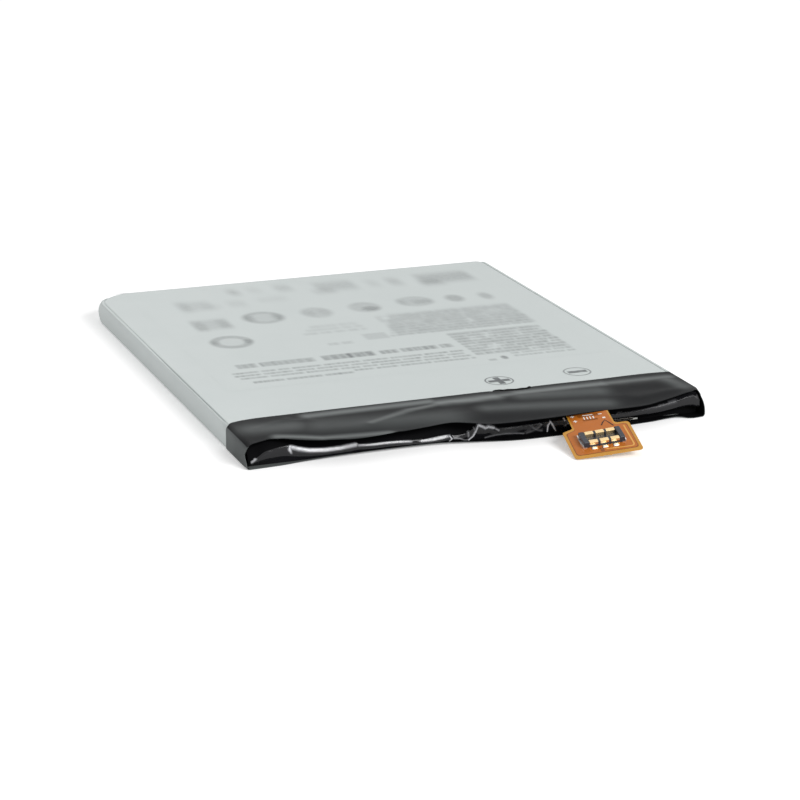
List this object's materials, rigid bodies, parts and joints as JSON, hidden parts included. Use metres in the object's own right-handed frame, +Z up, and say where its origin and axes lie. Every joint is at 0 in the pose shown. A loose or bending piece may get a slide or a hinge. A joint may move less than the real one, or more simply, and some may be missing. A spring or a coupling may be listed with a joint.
{
  "type": "mobile phone battery pack",
  "caption": "Flat lithium-polymer pouch pack for a phone, with its protection board under a taped end sleeve and a bent flexible tail ending in a board connector.",
  "frame": {"origin": "centre of the pouch's flat underside", "axes": "+Z up through the printed face, +X along the connector edge, -Y towards the connector edge"},
  "size_m": [0.062, 0.0868, 0.0034],
  "materials": {
    "pouch_foil": "satin laminated foil",
    "sleeve_tape": "matt dark grey tape",
    "glossy_tape": "glossy black tape",
    "flexible_print": "orange coverlay over copper",
    "stiffener": "amber laminate",
    "connector_plastic": "dark slate moulding",
    "gold": "bright gold plating",
    "tin": "bright tin plating",
    "solder_mask": "green solder mask",
    "foam": "closed-cell foam",
    "polyimide": "clear amber film",
    "tab_aluminium": "bright rolled",
    "nickel": "rolled nickel",
    "tab_film": "milky sealing film",
    "chip_moulding": "moulded",
    "ceramic": "glazed ceramic",
    "resistor_black": "glass coated",
    "capacitor_tan": "fired ceramic"
  },
  "bodies": {
    "root": {"pouch_cell": "pouch_foil", "end_sleeve": "sleeve_tape", "board_tape": "glossy_tape", "flex_tail": "flexible_print", "head_stiffener": "stiffener", "connector_housing": "connector_plastic", "contact_1": "gold", "contact_2": "gold", "contact_3": "gold", "contact_4": "gold", "contact_5": "gold", "contact_6": "gold", "hold_down_left": "tin", "hold_down_right": "tin", "protection_board": "solder_mask", "board_foam_pad": "foam", "terrace_insulation": "polyimide", "positive_tab": "tab_aluminium", "negative_tab": "nickel", "positive_tab_film": "tab_film", "negative_tab_film": "tab_film", "positive_weld_pad": "nickel", "negative_weld_pad": "nickel", "dual_mosfet": "chip_moulding", "protection_ic": "chip_moulding", "chip_fuse": "ceramic", "sense_resistor": "resistor_black", "chip_capacitor_1": "capacitor_tan", "chip_capacitor_2": "capacitor_tan", "chip_capacitor_3": "capacitor_tan", "chip_resistor_1": "resistor_black", "chip_resistor_2": "resistor_black", "chip_resistor_3": "resistor_black", "thermistor": "ceramic"}
  },
  "joints": []
}
